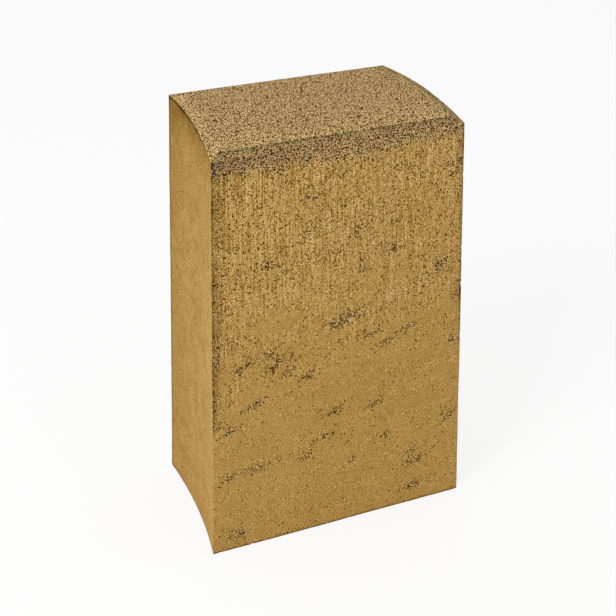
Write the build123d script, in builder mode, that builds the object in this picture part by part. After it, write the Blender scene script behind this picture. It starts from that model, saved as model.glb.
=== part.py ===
import os
from math import radians, tan

from build123d import *

os.makedirs("parts", exist_ok=True)

# One cast concrete palisade block, standing on its base.
# X runs along the row of blocks, Y from the shown face to the back, Z up.
FRONT_WIDTH = 190.0      # base, along the shown face, corner to corner
BACK_WIDTH = 170.0       # base, along the back face, corner to corner
DEPTH = 114.0            # base, shown face to back face
SHOWN_HEIGHT = 280.0     # base to the lower edge of the bevel on the shown face
DRAFT = 1.6              # lean of all four upright faces, in degrees, so that the mould lifts off
SIDE_BOW = 3.6           # depth of the hollow in the left side, and swell of the right side that fits it
MIDDLE_RISE = 8.0        # top midway from front to back, above its front edge
BACK_RISE = 10.5         # top at the back edge, above its front edge
BEVEL_INSET = 7.0        # width of the bevel round the top, measured along the top
BEVEL_RISE = 2.4         # height of that bevel, measured down the upright faces

# corners of the base, and the middle of each bowed side
front_left = Vector(-FRONT_WIDTH / 2, -DEPTH / 2)
front_right = Vector(FRONT_WIDTH / 2, -DEPTH / 2)
back_left = Vector(-BACK_WIDTH / 2, DEPTH / 2)
back_right = Vector(BACK_WIDTH / 2, DEPTH / 2)
left_middle = (front_left + back_left) / 2 + Vector(SIDE_BOW, 0)
right_middle = (front_right + back_right) / 2 + Vector(SIDE_BOW, 0)

# the swollen side can reach past its front corner, so the base is moved to sit centred on the origin
swell = Edge.make_three_point_arc(front_right, right_middle, back_right).bounding_box().max.X
centring = (FRONT_WIDTH / 2 - swell) / 2

# the top's profile from front to back, given at the two upright faces, which lean in with height
rim_height = SHOWN_HEIGHT + BEVEL_RISE
rim_depth = DEPTH / 2 - rim_height * tan(radians(DRAFT))
stock_height = rim_height + 2 * (MIDDLE_RISE + BACK_RISE)

with BuildPart() as palisade_block:
    with BuildSketch(Plane.XY):
        with Locations((centring, 0)):
            with BuildLine():
                Line(front_left, front_right)
                ThreePointArc(front_right, right_middle, back_right)
                Line(back_right, back_left)
                ThreePointArc(back_left, left_middle, front_left)
            make_face()
    extrude(amount=stock_height, taper=DRAFT)

    # the top is crowned from front to back and straight along the row
    with BuildSketch(Plane.YZ.offset(-FRONT_WIDTH)):
        with BuildLine():
            ThreePointArc(
                (-rim_depth, rim_height), (0, rim_height + MIDDLE_RISE), (rim_depth, rim_height + BACK_RISE)
            )
            Polyline((rim_depth, rim_height + BACK_RISE), (DEPTH, 0), (-DEPTH, 0), (-rim_depth, rim_height))
        make_face()
    extrude(amount=2 * FRONT_WIDTH, mode=Mode.INTERSECT)

    crown = palisade_block.faces().sort_by(Axis.Z)[-1]
    chamfer(crown.edges(), length=BEVEL_INSET, length2=BEVEL_RISE, reference=crown)

palisade_block.part.label = "palisade_block"
export_step(palisade_block.part, "parts/palisade_block.step")
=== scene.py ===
import math

import bpy
import numpy as np
from mathutils import Matrix, Vector


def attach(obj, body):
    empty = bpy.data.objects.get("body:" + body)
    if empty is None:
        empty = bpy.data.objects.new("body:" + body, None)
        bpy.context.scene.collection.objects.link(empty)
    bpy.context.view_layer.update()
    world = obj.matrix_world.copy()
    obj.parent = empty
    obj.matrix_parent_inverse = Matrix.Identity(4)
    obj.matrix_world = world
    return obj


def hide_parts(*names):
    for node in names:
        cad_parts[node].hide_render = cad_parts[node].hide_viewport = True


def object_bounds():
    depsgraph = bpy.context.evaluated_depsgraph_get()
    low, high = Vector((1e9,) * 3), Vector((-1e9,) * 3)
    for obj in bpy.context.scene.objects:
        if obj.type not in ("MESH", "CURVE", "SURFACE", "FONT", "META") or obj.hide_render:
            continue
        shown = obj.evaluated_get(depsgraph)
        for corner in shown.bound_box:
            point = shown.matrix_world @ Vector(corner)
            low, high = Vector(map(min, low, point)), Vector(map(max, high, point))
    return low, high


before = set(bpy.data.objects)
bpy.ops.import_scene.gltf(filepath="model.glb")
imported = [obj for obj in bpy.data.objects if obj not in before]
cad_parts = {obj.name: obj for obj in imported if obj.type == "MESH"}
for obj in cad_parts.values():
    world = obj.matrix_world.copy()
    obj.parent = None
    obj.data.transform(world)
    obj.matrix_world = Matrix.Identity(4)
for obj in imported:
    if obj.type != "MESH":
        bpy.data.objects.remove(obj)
cad_box = [list(corner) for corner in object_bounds()]

# The block: one piece of through-coloured sandy concrete, pressed upright in a steel mould.
# The stamp leaves the top and its bevel open-grained; the mould, drawn off upwards, leaves the
# four sides closer, with fine upright lines and pits where the mix did not fill.
MM = 0.001
FRONT_WIDTH = 190 * MM
BACK_WIDTH = 170 * MM
DEPTH = 114 * MM
SHOWN_HEIGHT = 280 * MM
DRAFT = math.tan(math.radians(1.6))
SIDE_BOW = 3.6 * MM
MIDDLE_RISE = 8 * MM
BACK_RISE = 10.5 * MM
BEVEL_INSET = 7 * MM
BEVEL_RISE = 2.4 * MM
RIM_HEIGHT = SHOWN_HEIGHT + BEVEL_RISE


def circle_through(a, b, c):
    """Centre and radius of the circle through three points: its centre is as far from a as from b and c."""
    a, b, c = (np.array(point, float) for point in (a, b, c))
    sides = 2 * np.array([b - a, c - a])
    centre = np.linalg.solve(sides, [b @ b - a @ a, c @ c - a @ a])
    return centre, np.linalg.norm(a - centre)


def side_arc(way):
    """The arc of the left (way -1) or right (way +1) side of the base, as centre and radius: the circle
    through both corners and a middle point that stands SIDE_BOW towards +X from the line between them."""
    centring = cad_box[0][0] + FRONT_WIDTH / 2
    front, back = way * FRONT_WIDTH / 2 + centring, way * BACK_WIDTH / 2 + centring
    return circle_through((front, -DEPTH / 2), ((front + back) / 2 + SIDE_BOW, 0), (back, DEPTH / 2))


rim_depth = DEPTH / 2 - RIM_HEIGHT * DRAFT
CROWN, CROWN_RADIUS = circle_through(
    (-rim_depth, RIM_HEIGHT), (0, RIM_HEIGHT + MIDDLE_RISE), (rim_depth, RIM_HEIGHT + BACK_RISE)
)
LEFT, LEFT_RADIUS = side_arc(-1)
RIGHT, RIGHT_RADIUS = side_arc(1)


def crown(y):
    """Height of the top at y: centre height + sqrt(radius^2 - (y - centre)^2)."""
    return CROWN[1] + np.sqrt(CROWN_RADIUS**2 - (y - CROWN[0]) ** 2)


def left_x(y, inset):
    """X of the hollow left side moved in by inset: centre + sqrt((radius + inset)^2 - (y - centre)^2)."""
    return LEFT[0] + np.sqrt((LEFT_RADIUS + inset) ** 2 - (y - LEFT[1]) ** 2)


def right_x(y, inset):
    """X of the swollen right side moved in by inset: centre + sqrt((radius - inset)^2 - (y - centre)^2)."""
    return RIGHT[0] + np.sqrt((RIGHT_RADIUS - inset) ** 2 - (y - RIGHT[1]) ** 2)


def places(length, pitch, edge):
    """Places from 0 to 1 along an edge: the running sum of the small steps in edge at both ends, and even
    steps of about pitch between."""
    start = np.cumsum([0.0, *edge])
    even_count = round((length - 2 * start[-1]) / pitch) + 1
    even = np.linspace(start[-1], length - start[-1], even_count)
    return np.concatenate([start[:-1], even, (length - start[:-1])[::-1]]) / length


def between(a, b, t):
    """The straight line from a to b at t: a + (b - a) t."""
    return a + (b - a) * t


def plan_ring(inset, across, along):
    """Plan of the block once round, moved in by inset (one per row): front to the right, right side to the
    back, back to the left, left side to the front. Front and back are straight between the side arcs."""
    inset = np.asarray(inset)[:, None]
    front, back = -DEPTH / 2 + inset, DEPTH / 2 - inset
    out, home = between(front, back, along[:-1]), between(back, front, along[:-1])
    corners = [left_x(front, inset), right_x(front, inset), right_x(back, inset), left_x(back, inset)]
    x = [between(corners[0], corners[1], across[:-1]), right_x(out, inset),
         between(corners[2], corners[3], across[:-1]), left_x(home, inset)]
    y = [front + 0 * across[:-1], out, back + 0 * across[:-1], home]
    return np.concatenate(x, 1), np.concatenate(y, 1)


def noise(points, cell, seed):
    """Smooth noise from -1 to 1: random values at the corners of boxes of size cell, blended along each
    axis by 3t^2 - 2t^3, with t the place in the box from 0 to 1."""
    low = points.min(0)
    place = (points - low) / np.asarray(cell)
    corner = place.astype(int)
    t = place - corner
    t = t * t * (3 - 2 * t)
    random = np.random.default_rng(seed).uniform(-1, 1, corner.max(0) + 2)
    total = 0
    for i in (0, 1):
        for j in (0, 1):
            for k in (0, 1):
                weight = np.prod(np.where([i, j, k], t, 1 - t), 1)
                total = total + weight * random[corner[:, 0] + i, corner[:, 1] + j, corner[:, 2] + k]
    return total


def soft_step(value, low, high):
    """0 below low, 1 above high, and 3t^2 - 2t^3 between."""
    t = np.clip((value - low) / (high - low), 0, 1)
    return t * t * (3 - 2 * t)


def fade(distance, width):
    """1 where the distance is 0, falling off on both sides: e to the power -(distance / width)^2."""
    return np.exp(-((distance / width) ** 2))


# the grid that goes round: rows from just inside the base, up the sides, over the bevel, onto the top
EDGE = np.array([0.35, 0.45, 0.6, 0.9]) * MM
across = places(FRONT_WIDTH, 1.32 * MM, EDGE)
along = places(DEPTH, 1.75 * MM, EDGE)
base_rows = np.array([5.0, 2.6, 1.3, 0.6, 0.25]) * MM
side_rows = places(SHOWN_HEIGHT, 1.75 * MM, EDGE)
bevel_rows = places(BEVEL_INSET, 1.1 * MM, EDGE[:2])[1:]
top_rows = BEVEL_INSET + np.array([0.4, 1.0, 2.0]) * MM

count = [len(rows) for rows in (base_rows, side_rows, bevel_rows, top_rows)]
rise = np.concatenate([np.zeros(count[0]), side_rows, np.ones(count[2] + count[3])])
inward = np.concatenate([base_rows, np.zeros(count[1]), bevel_rows * BEVEL_INSET, top_rows])
up_bevel = np.concatenate([np.zeros(count[0] + count[1]), bevel_rows, np.ones(count[3])])
x, y = plan_ring(inward + rise * SHOWN_HEIGHT * DRAFT, across, along)
edge_height = crown(y) - BEVEL_RISE
z = rise[:, None] * edge_height + up_bevel[:, None] * BEVEL_RISE
rings = np.stack([x, y, z], -1)

# the grid of the top inside the last ring
reach = top_rows[-1] + SHOWN_HEIGHT * DRAFT
cap_y = between(-DEPTH / 2 + reach, DEPTH / 2 - reach, along)[:, None]
cap_x = between(left_x(cap_y, reach), right_x(cap_y, reach), across)
cap = np.stack(np.broadcast_arrays(cap_x, cap_y, crown(cap_y)), -1)

# how much each point of the rings is worn: near the corners, the bevel's two edges and the base.
# Wear moves a point towards the mean of its four neighbours, over and over.
WEAR_REACH = 1.2 * MM
WEAR_ROUNDS = 5
columns = np.concatenate([across[:-1] * FRONT_WIDTH, along[:-1] * DEPTH] * 2)
lengths = np.repeat([FRONT_WIDTH, DEPTH] * 2, [len(across) - 1, len(along) - 1] * 2)
from_corner = np.minimum(columns, lengths - columns)[None, :]
from_base = (rise * SHOWN_HEIGHT + inward)[:, None]
from_arris = ((1 - rise) * SHOWN_HEIGHT + inward * (rise == 1))[:, None]
from_rim = (abs(inward - BEVEL_INSET) + (1 - rise) * SHOWN_HEIGHT)[:, None]
from_edge = np.minimum(np.minimum(from_corner, from_base), np.minimum(from_arris, from_rim))
wear = fade(from_edge, WEAR_REACH)
wear[[0, -1]] = 0
wear *= 0.7 + 0.3 * noise(rings.reshape(-1, 3), 9 * MM, 1).reshape(wear.shape)
for _ in range(WEAR_ROUNDS):
    around = (np.roll(rings, 1, 1) + np.roll(rings, -1, 1)) / 4
    around[1:-1] += (rings[:-2] + rings[2:]) / 4
    rings += (around - rings) * np.clip(wear, 0, 1)[..., None]

# outward directions: the cross product of the grids' two directions
round_way = np.roll(rings, -1, 1) - np.roll(rings, 1, 1)
ring_out = np.cross(round_way, np.gradient(rings, axis=0)).reshape(-1, 3)
slope = (crown(cap_y + MM) - crown(cap_y - MM)) / (2 * MM)
cap_out = np.stack(np.broadcast_arrays(0 * cap_x, -slope, 1.0), -1)[1:-1, 1:-1].reshape(-1, 3)
points = np.concatenate([rings.reshape(-1, 3), cap[1:-1, 1:-1].reshape(-1, 3)])
outward = np.concatenate([ring_out, cap_out])
outward /= np.linalg.norm(outward, axis=1, keepdims=True)
edge_distance = np.concatenate([from_edge.ravel(), np.full(len(cap_out), 1.0)])

# where the surface is what: the top with its bevel, the shown face, the back, and the two sides
px, py, pz = points.T
spread = rings.shape[1]
on_top = np.concatenate([np.repeat((up_bevel > 0) & (inward > 0), spread), np.ones(len(cap_out))])
facing = soft_step(-outward[:, 1], 0.6, 0.9) * (1 - on_top)
behind = soft_step(outward[:, 1], 0.6, 0.9) * (1 - on_top)
to_left = soft_step(-outward[:, 0], 0.6, 0.9) * (1 - on_top)
under_arris = np.concatenate([np.repeat((1 - rise), spread) * SHOWN_HEIGHT, np.zeros(len(cap_out))])

# the band under the front arris that stayed as open as the top: its lower edge is ragged, lower on the left
BAND_FULL, BAND_END, BAND_RISE = 3 * MM, 15 * MM, 4 * MM
band_edge = noise(points, 9 * MM, 2) * 3 * MM + noise(points, (1.6 * MM, 1.6 * MM, 9 * MM), 3) * 3.5 * MM
band_edge += soft_step(px, 20 * MM, 90 * MM) * BAND_RISE
band = facing * (1 - soft_step(under_arris + band_edge, BAND_FULL, BAND_END))

# the face closed up better towards its foot, and a little higher up on the right; the rougher patches
# slant up to the right
SLANT = 0.4
slant = np.stack([px + SLANT * pz, 3 * py, pz - SLANT * px], 1)
wide_patches = noise(slant, (60 * MM, 60 * MM, 16 * MM), 4)
patchy = wide_patches * 0.6 + noise(slant, (22 * MM, 22 * MM, 7 * MM), 5) * 0.4
high_up = soft_step(pz - 0.08 * px + patchy * 60 * MM, 105 * MM, 215 * MM)
high_up_behind = soft_step(pz + patchy * 60 * MM, 60 * MM, 200 * MM)
from_left = px - left_x(py, 0) - pz * DRAFT
from_right = right_x(py, 0) - pz * DRAFT - px
left_strip = fade(from_left, 8 * MM) * soft_step(pz, 85 * MM, 120 * MM) * facing
left_strip *= 0.65 + 0.5 * noise(points, 12 * MM, 12)
rough = facing * np.clip(high_up + 0.8 * left_strip, 0, 1) * (0.8 + 0.35 * patchy)
rough += 0.5 * behind * high_up_behind
open_grain = np.clip(on_top + 0.9 * band, 0, 1)

# the face's unfilled clusters: place across and up the face, width and height of each, in millimetres
CLUSTERS = np.array([
    (8, 160, 9, 4), (0, 156, 6, 3.2), (-24, 122, 7, 3.2), (-46, 136, 8, 4), (-37, 132, 5, 4.8),
    (-70, 138, 6, 3.2), (-53, 144, 6, 3.2), (-60, 110, 9, 2.4), (38, 136, 8, 2.4), (50, 143, 8, 1.6),
    (24, 143, 5, 2.4), (59, 35, 9, 2.4), (54, 43, 5, 3.2), (58, 14, 11, 2.4), (-64, 59, 5, 3.2),
    (-81, 58, 5, 2.4), (-50, 62, 6, 2.4), (-5, 90, 7, 2.4), (-13, 72, 9, 2.4), (26, 89, 4, 2.4),
    (15, 218, 7, 4), (39, 202, 6, 3.2), (17, 194, 5, 6.4), (72, 184, 5, 4.8), (90, 161, 5, 4.8),
    (84, 253, 7, 9.6), (-22, 225, 5, 3.2), (-22, 247, 4, 3.2), (-49, 208, 6, 3.2), (-90, 144, 3, 6.4),
    (-92, 120, 3, 9.6), (-88, 100, 5, 4), (-78, 93, 7, 1.6), (-77, 11, 6, 4), (40, 221, 8, 2.4),
    (36, 105, 4, 3.2), (85, 65, 5, 4.8), (86, 125, 5, 2.4), (35, 62, 3, 2.4), (10, 48, 4, 2.4),
    (75, 44, 3, 2.4), (-25, 60, 4, 4),
]) * MM
CLUSTER_SLOPE = 0.25
cluster = 0
for across_face, up_face, width, height in CLUSTERS:
    rising = CLUSTER_SLOPE * (px - across_face)
    cluster = cluster + fade(px - across_face, width) * fade(pz - up_face - rising, height)
pitted = facing * np.clip(cluster, 0, 1) * (1 - 0.5 * soft_step(pz, 165 * MM, 200 * MM))
pitted *= np.clip(0.85 + 1.1 * noise(points, 3.2 * MM, 14), 0, 1.5)

# where the left side differs in tone: its front and back parts, its top, and the painted shade under its
# rim with a painted shadow line close under it
left_front = to_left * (1 - soft_step(py + DEPTH / 2, 8 * MM, 52 * MM))
left_back = to_left * soft_step(py, 5 * MM, 50 * MM)
left_high = to_left * soft_step(pz, 170 * MM, 280 * MM)
under_rim = to_left * (0.4 + 0.6 * soft_step(py, -45 * MM, 10 * MM)) * (1 + 0.4 * noise(points, 7 * MM, 13))
painted_rim_shade = fade(under_arris, 14 * MM) * under_rim
painted_rim_shadow_line = fade(under_arris - 1.0 * MM, 0.9 * MM) * under_rim
left_mottle = to_left * noise(points, 9 * MM, 16)
back_corner = to_left * fade(DEPTH / 2 - py - pz * DRAFT, 3 * MM)

# where the face does: darker along its corners on the left and right, and painted shadow along the foot of
# both visible sides, where they stand on the floor
face_left = facing * fade(from_left, 2.5 * MM) * soft_step(pz, 80 * MM, 120 * MM)
face_right = facing * fade(from_right, 2 * MM) * soft_step(pz, 110 * MM, 160 * MM)
painted_foot_shadow = (facing + to_left) * fade(pz, 1.5 * MM)

# the tone itself, paler above 0 and darker below: partly the block's own tone, partly painted shade and
# painted light
own_tone_and_painted_light = 0.04 * left_front - 0.035 * left_back - 0.04 * left_high + 0.035 * left_mottle
# painted shade and a painted shadow line under the left side's rim, and the darker back corner
own_tone_and_painted_light -= 0.14 * painted_rim_shade + 0.28 * painted_rim_shadow_line + 0.14 * back_corner
own_tone_and_painted_light -= (0.15 + 0.14 * soft_step(-px, 10 * MM, 80 * MM)) * band + 0.1 * left_strip
# the face's darker corners, and painted shadow along the foot
own_tone_and_painted_light -= 0.2 * face_left + 0.2 * face_right + 0.25 * painted_foot_shadow

# painted shade in the crease along the bevel's upper edge, and painted shade on the bevel by side, darker
# where it faces away from the lamp and a touch paler on the left, which faces it: front, right, back and
# left
CREASE_BY_SIDE = np.array([1, 0.4, 0.3, 0])
PAINTED_BEVEL_SHADE_BY_SIDE = np.array([0.18, 0.12, 0.1, -0.01])
row_inward = np.repeat(inward * (rise == 1), spread)
side = np.tile(np.repeat(range(4), [len(across) - 1, len(along) - 1] * 2), len(rings))
crease = fade(row_inward - BEVEL_INSET + 0.9 * MM, 0.8 * MM)
crease *= CREASE_BY_SIDE[side] * (0.8 + 0.5 * noise(points[: len(crease)], 5 * MM, 15))
on_bevel = (row_inward > 0) * (row_inward < BEVEL_INSET)
# painted shade: the crease darkened, and the bevel darkened or lightened by side
own_tone_and_painted_light[: len(crease)] -= 0.24 * crease + PAINTED_BEVEL_SHADE_BY_SIDE[side] * on_bevel

# and painted light on the top: a paler strip just behind the front crease
behind_crease = py + rim_depth - BEVEL_INSET
own_tone_and_painted_light += 0.06 * on_top * (behind_crease > 0) * fade(behind_crease, 12 * MM)

# relief along the outward direction, always inwards: the depth of each kind, then where it is
WAVES, LINES, GRAIN, LEDGE, PITS, CHIPS = 0.15 * MM, 0.04 * MM, 0.08 * MM, 0.5 * MM, 0.8 * MM, 0.4 * MM
relief = WAVES * (noise(points, 38 * MM, 6) - 1)
relief += LINES * (noise(points, (1.9 * MM, 1.9 * MM, 40 * MM), 7) - 1) * rough
relief += GRAIN * (noise(points, 1.5 * MM, 8) - 1) * open_grain
relief[: len(crease)] -= LEDGE * crease
pits = soft_step(noise(points, (2.6 * MM, 2.6 * MM, 2.2 * MM), 9) + 0.65 * pitted, 0.75, 1.05)
pits *= (1 - on_top) * soft_step(from_left, 2 * MM, 5 * MM)
relief -= PITS * pits
chips = soft_step(noise(points, 3.4 * MM, 10) + 0.4 * noise(points, 11 * MM, 11), 0.45, 1.0)
relief -= CHIPS * chips * fade(edge_distance, 1.3 * MM) * (pz > 2 * MM)

# the foot's inner rows follow the outer one, less and less, so that the base stays flat
shift = outward * relief[:, None]
foot = shift[: rings.size // 3].reshape(rings.shape)
foot[: count[0]] = foot[count[0]] * (1 - base_rows / base_rows[0])[:, None, None]
points += shift
points[:, 2] = np.maximum(points[:, 2], 0)

# faces: the rings, the top whose border is the last ring, and one face for the base
ring_count, column_count = rings.shape[:2]
index = np.arange(ring_count * column_count).reshape(ring_count, column_count)
ahead = np.roll(index, -1, 1)
quads = np.stack([index[:-1], ahead[:-1], ahead[1:], index[1:]], -1).reshape(-1, 4)
wide, deep = len(across) - 1, len(along) - 1
top = np.empty((deep + 1, wide + 1), int)
top[1:-1, 1:-1] = index.size + np.arange((deep - 1) * (wide - 1)).reshape(deep - 1, wide - 1)
last = np.append(index[-1], index[-1, 0])
top[0] = last[: wide + 1]
top[:, -1] = last[wide : wide + deep + 1]
top[-1] = last[wide + deep : 2 * wide + deep + 1][::-1]
top[:, 0] = last[2 * wide + deep :][::-1]
cap_quads = np.stack([top[:-1, :-1], top[:-1, 1:], top[1:, 1:], top[1:, :-1]], -1).reshape(-1, 4)
faces = [*np.concatenate([quads, cap_quads]).tolist(), index[0, ::-1].tolist()]

mesh = bpy.data.meshes.new("block_surface")
mesh.from_pydata(points, [], faces)
mesh.shade_smooth()
surface_maps = {"open_grain": open_grain, "rough": rough, "pitted": pitted, "own_tone_and_painted_light": own_tone_and_painted_light, "pits": pits}
for name, values in surface_maps.items():
    mesh.attributes.new(name, "FLOAT", "POINT").data.foreach_set("value", values.astype(np.float32))


class Shade:
    """A value or colour inside a material. Arithmetic on it adds Math nodes, and every other node comes
    from node()."""

    def __init__(self, tree, socket=None):
        self.tree, self.socket = tree, socket

    def node(self, kind, sockets, output=0, stops=None, **settings):
        """Adds a node: its settings and ramp stops first, then its sockets from values or links. Gives one
        output. A new ramp has two stops, so the first two stops given take their place."""
        made = self.tree.nodes.new(kind)
        for name, value in settings.items():
            setattr(made, name, value)
        for number, (position, colour) in enumerate(stops or ()):
            elements = made.color_ramp.elements
            stop = elements[number] if number < 2 else elements.new(position)
            stop.position, stop.color = position, (*colour, 1)
        for name, value in sockets.items():
            if isinstance(value, Shade):
                self.tree.links.new(value.socket, made.inputs[name])
            else:
                made.inputs[name].default_value = value
        return Shade(self.tree, made.outputs[output])

    def math(self, operation, *others):
        return self.node("ShaderNodeMath", dict(enumerate((self, *others))), operation=operation)

    def __add__(self, other):
        return self.math("ADD", other)

    __radd__ = __add__

    def __sub__(self, other):
        return self.math("SUBTRACT", other)

    def __rsub__(self, other):
        return self * -1 + other

    def __mul__(self, other):
        return self.math("MULTIPLY", other)

    def step(self, low, high):
        """0 below low, 1 above high, smooth between."""
        return self.node("ShaderNodeMapRange", {"Value": self, "From Min": low, "From Max": high},
                         interpolation_type="SMOOTHSTEP")

    def times(self, other):
        """This colour multiplied by another, channel by channel."""
        return self.node("ShaderNodeMix", {0: 1.0, 6: self, 7: other}, 2,
                         data_type="RGBA", blend_type="MULTIPLY")


def new_material(name):
    """An empty material, with its principled shader and a Shade to start nodes from."""
    material = bpy.data.materials.new(name)
    material.use_nodes = True
    start = Shade(material.node_tree)
    return material, start, material.node_tree.nodes["Principled BSDF"]


# The concrete: its patterns count in millimetres, except the fine lines, which the mould drew up the sides
# and which are narrow across and long upwards.
PER_METRE = (1000, 1000, 1000)
LINES_PER_METRE = (1100, 1100, 30)
CRUMB, SAND_GRAIN, SMALL_HOLE, LARGE_HOLE = 0.75, 0.5, 1.25, 2.0
concrete, start, surface = new_material("sandy_concrete")
at = start.node("ShaderNodeTexCoord", {}, "Object")
millimetres = start.node("ShaderNodeVectorMath", {0: at, 1: PER_METRE}, operation="MULTIPLY")
drawn_up = start.node("ShaderNodeVectorMath", {0: at, 1: LINES_PER_METRE}, operation="MULTIPLY")


def surface_map(name):
    """A value that the mesh carries at its points."""
    return start.node("ShaderNodeAttribute", {}, "Fac", attribute_name=name)


def cloud(size, detail=2.0, roughness=0.5, vector=millimetres):
    """Noise round 0, from about -0.5 to 0.5, whose lumps are about size millimetres."""
    sockets = {"Vector": vector, "Scale": 1 / size, "Detail": detail, "Roughness": roughness}
    return start.node("ShaderNodeTexNoise", sockets) - 0.5


def cells(size, output="Color"):
    """Crumbs about size millimetres wide: a random colour for each, or the distance from its middle."""
    return start.node("ShaderNodeTexVoronoi", {"Vector": millimetres, "Scale": 1 / size}, output)


def lottery(size):
    """A random value from 0 to 1 for each crumb."""
    return start.node("ShaderNodeSeparateColor", {"Color": cells(size)})


def holes(size, share, ragged, inner, outer):
    """Holes in the share of crumbs whose lottery falls below it: 1 within inner of the crumb's middle, 0
    past outer, with the distance made uneven by ragged. Both distances count in crumbs."""
    drawn = (share - lottery(size)).step(0, 0.04)
    return drawn * (1 - (cells(size, "Distance") + uneven * ragged).step(inner, outer))


opened, roughened, clustered = surface_map("open_grain"), surface_map("rough"), surface_map("pitted")
mesh_tone_and_painted_light, hollowed = surface_map("own_tone_and_painted_light"), surface_map("pits")
grains = 0.5 - cells(CRUMB, "Distance")
sand = grains * 8.5 + (lottery(SAND_GRAIN) - 0.5) + cloud(0.4, 2.0, 0.8) + 0.03
lines = cloud(1.0, 1.0, 0.5, drawn_up)
uneven = cloud(0.6, 1.0)
small_holes = holes(SMALL_HOLE, roughened * 0.22 + clustered * 0.9 + 0.04, 0.6, 0.35, 0.47)
large_holes = holes(LARGE_HOLE, clustered * 0.6 + roughened * 0.035, 0.9, 0.26, 0.36)
hole = (small_holes + large_holes + hollowed * 0.3).step(0.1, 0.8)

# where the sand lies bare, and the cement skin that covers it elsewhere
bare = (opened * 1.2 + roughened * 0.12 + clustered * 0.6 - lottery(0.6)).step(-0.2, 0.5)
skin = cloud(0.45, 1.0, 0.8) * (roughened * 0.3 + 1.6) + (lines * 0.8 + grains * 0.7) * roughened
skin = skin + cloud(30) * 0.07 + cloud(7) * 0.1
# painted shade: the holes darken the tone, as shade falls in them
tone = bare * sand + (1 - bare) * skin - hole * 1.4 + mesh_tone_and_painted_light * 0.8 + roughened * 0.045 + 0.5

# colour by tone, from the painted shade of the hollows to pale grains: the two ends first, then the stops
# between
colour = start.node("ShaderNodeValToRGB", {0: tone}, stops=(
    (0.0, (0.05, 0.015, 0.0)), (1.0, (0.87, 0.62, 0.29)), (0.25, (0.185, 0.087, 0.006)),
    (0.5, (0.405, 0.229, 0.050)), (0.72, (0.605, 0.395, 0.148))))
# the mesh's tone, with its painted shade and painted light, scales the colour
colour = colour.times(1 + mesh_tone_and_painted_light * 1.2)
grain_height = bare * sand * 0.08 + skin * 0.08 - hole * 0.8
bump = start.node("ShaderNodeBump", {"Height": grain_height, "Distance": MM, "Strength": 0.8})
for socket, value in {"Base Color": colour, "Normal": bump}.items():
    concrete.node_tree.links.new(value.socket, surface.inputs[socket])
surface.inputs["Roughness"].default_value = 0.95
surface.inputs["Specular IOR Level"].default_value = 0.05

block = bpy.data.objects.new("block_surface", mesh)
bpy.context.scene.collection.objects.link(block)
mesh.materials.append(concrete)
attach(block, "root")
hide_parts("palisade_block")

# The floor and backdrop: one wide white sheet under the block. The camera sees it nearly white, and the
# share of it that stays a plain surface keeps the block's faint shadow.
FLOOR_REACH = 6
FLOOR_WHITE = 0.88
FLOOR_GLOW = 0.82


def background_rays(start):
    """1 for a ray that shows the background, to the camera or in a reflection or glass, and 0 for one that
    lights: the largest of the three."""
    camera_ray, glossy_ray, glass_ray = (
        start.node("ShaderNodeLightPath", {}, f"Is {kind} Ray")
        for kind in ("Camera", "Glossy", "Transmission")
    )
    return camera_ray.math("MAXIMUM", glossy_ray).math("MAXIMUM", glass_ray)


floor_material, start, surface = new_material("white_floor")
surface.inputs["Base Color"].default_value = (FLOOR_WHITE, FLOOR_WHITE, FLOOR_WHITE, 1)
surface.inputs["Roughness"].default_value = 0.9
glow = start.node("ShaderNodeEmission", {"Color": (1, 1, 1, 1), "Strength": 1.0})
plain = Shade(start.tree, surface.outputs[0])
glow_share = background_rays(start) * FLOOR_GLOW
mixed = start.node("ShaderNodeMixShader", {0: glow_share, 1: plain, 2: glow})
start.tree.links.new(mixed.socket, start.tree.nodes["Material Output"].inputs["Surface"])
floor_mesh = bpy.data.meshes.new("floor")
floor_corners = [(x * FLOOR_REACH, y * FLOOR_REACH, 0) for x, y in ((-1, -1), (1, -1), (1, 1), (-1, 1))]
floor_mesh.from_pydata(floor_corners, [], [(0, 1, 2, 3)])
floor_mesh.materials.append(floor_material)
floor = bpy.data.objects.new("floor", floor_mesh)
bpy.context.scene.collection.objects.link(floor)

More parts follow.
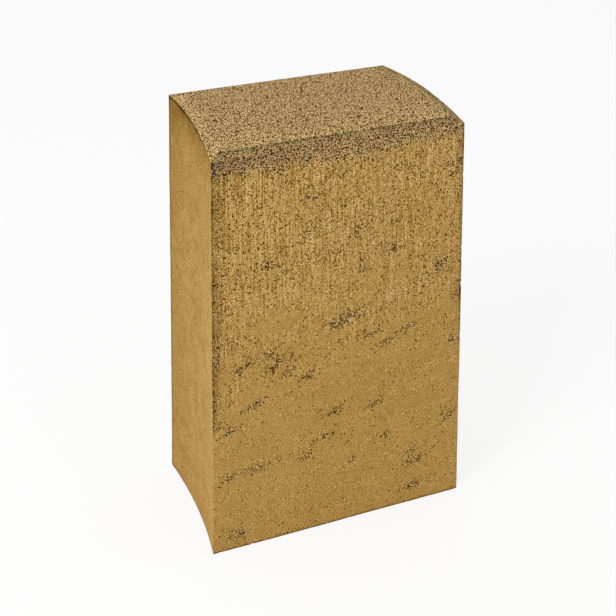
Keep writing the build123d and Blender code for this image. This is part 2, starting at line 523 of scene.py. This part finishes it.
# Light: a white room all round, which the camera sees at full white, and one large soft lamp above, to the
# left and in front of the block.
ROOM_LIGHT = 0.72
LAMP_SIZE, LAMP_POWER, LAMP_PLACE = 0.9, 19, (-1.35, -0.8, 1.25)
world = bpy.data.worlds.new("white_room")
bpy.context.scene.world = world
world.use_nodes = True
start = Shade(world.node_tree)
strength = background_rays(start) * (1 - ROOM_LIGHT) + ROOM_LIGHT
background = world.node_tree.nodes["Background"]
background.inputs["Color"].default_value = (1, 1, 1, 1)
world.node_tree.links.new(strength.socket, background.inputs["Strength"])
lamp = bpy.data.lights.new("soft_lamp", "AREA")
lamp.shape, lamp.size, lamp.energy = "DISK", LAMP_SIZE, LAMP_POWER
lamp_object = bpy.data.objects.new("soft_lamp", lamp)
lamp_object.location = LAMP_PLACE
aim = Vector((0, 0, SHOWN_HEIGHT / 2)) - lamp_object.location
lamp_object.rotation_euler = aim.to_track_quat("-Z", "Y").to_euler()
bpy.context.scene.collection.objects.link(lamp_object)

# Camera: where the photograph was taken from, a little under a metre off, to the left and above. It stands
# at the first angles from AIM_HEIGHT over the origin, looks along the second ones, and is rolled a little.
CAMERA_AZIMUTH, CAMERA_ELEVATION, CAMERA_DISTANCE = -24.417, 27.887, 0.923
AIM_HEIGHT = 0.141
LOOK_AZIMUTH, LOOK_ELEVATION, CAMERA_ROLL = -24.46, 27.844, 0.307
LENS, SENSOR_WIDTH = 78.22, 36


def away(azimuth, elevation):
    """The direction towards a camera at this azimuth and elevation: azimuth 0 is straight in front."""
    a, e = math.radians(azimuth), math.radians(elevation)
    return Vector((math.sin(a) * math.cos(e), -math.cos(a) * math.cos(e), math.sin(e)))


camera = bpy.data.cameras.new("camera")
camera.sensor_width = SENSOR_WIDTH
camera.lens = LENS
camera_object = bpy.data.objects.new("camera", camera)
bpy.context.scene.collection.objects.link(camera_object)
bpy.context.scene.camera = camera_object
back = away(LOOK_AZIMUTH, LOOK_ELEVATION)
level = Vector((math.cos(math.radians(LOOK_AZIMUTH)), math.sin(math.radians(LOOK_AZIMUTH)), 0))
turn = Matrix.Rotation(math.radians(CAMERA_ROLL), 3, back)
right = turn @ level
place = Vector((0, 0, AIM_HEIGHT)) + away(CAMERA_AZIMUTH, CAMERA_ELEVATION) * CAMERA_DISTANCE
camera_object.matrix_world = Matrix.Translation(place) @ Matrix(
    (right, back.cross(right), back)).transposed().to_4x4()

bpy.context.scene.view_settings.view_transform = "Standard"
